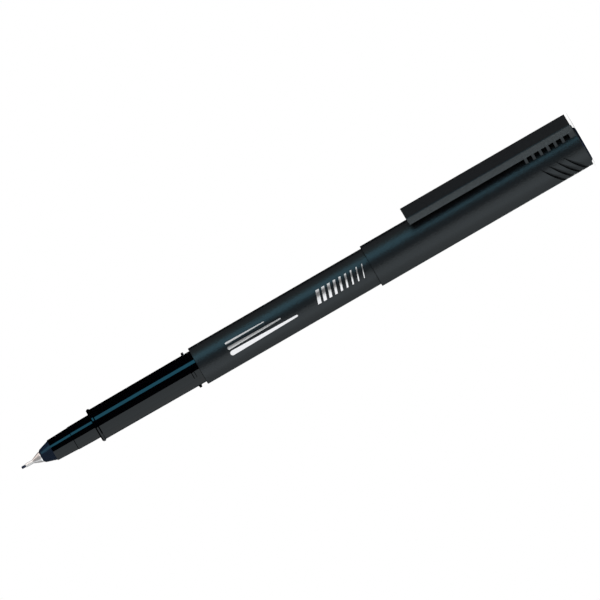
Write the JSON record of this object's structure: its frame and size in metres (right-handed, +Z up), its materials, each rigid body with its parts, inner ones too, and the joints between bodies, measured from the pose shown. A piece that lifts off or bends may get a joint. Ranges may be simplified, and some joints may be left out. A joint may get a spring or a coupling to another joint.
{
  "type": "fineliner pen",
  "caption": "Slim capped fineliner with a metal-clad fibre point, stepped gloss grip, round satin barrel and a cap with a straight clip posted on the tail.",
  "frame": {"origin": "in the middle of the cap's flat closed end, on which the posted pen stands", "axes": "+Z up along the pen from the cap's closed end to the nib, +X out of the clip's outer face"},
  "size_m": [0.0143, 0.0112, 0.1591],
  "materials": {
    "satin_black_plastic": "satin",
    "gloss_black_plastic": "gloss",
    "navy_plastic": "satin",
    "natural_plastic": "satin",
    "clear_film": "gloss",
    "steel": "polished",
    "nib_fibre": "matte",
    "ink_fibre": "matte"
  },
  "bodies": {
    "cap": {"cap_body": "satin_black_plastic", "cap_plug": "navy_plastic"},
    "clip": {"clip": "satin_black_plastic"},
    "inner_cap": {"inner_cap": "natural_plastic"},
    "barrel": {"barrel": "satin_black_plastic", "grip_section": "gloss_black_plastic", "nose_cone": "navy_plastic", "tip_cone": "steel", "tip_tube": "steel", "nib": "nib_fibre", "ink_reservoir": "ink_fibre", "reservoir_film": "clear_film", "tail_plug": "navy_plastic"}
  },
  "joints": [
    {"name": "cap_turn", "type": "hinge", "parent": "cap", "child": "inner_cap", "pos_m": [0, 0, 0], "axis": [0, 0, 1], "continuous": true},
    {"name": "cap_pull", "type": "slide", "parent": "inner_cap", "child": "barrel", "axis": [0, 0, 1], "range_m": [0, 0.03]},
    {"name": "clip_flex", "type": "hinge", "parent": "cap", "child": "clip", "pos_m": [0.00871, 0, 0.01483], "axis": [0, 1, 0], "range_deg": [0, 4], "stiffness_Nm_per_rad": 2.3}
  ]
}
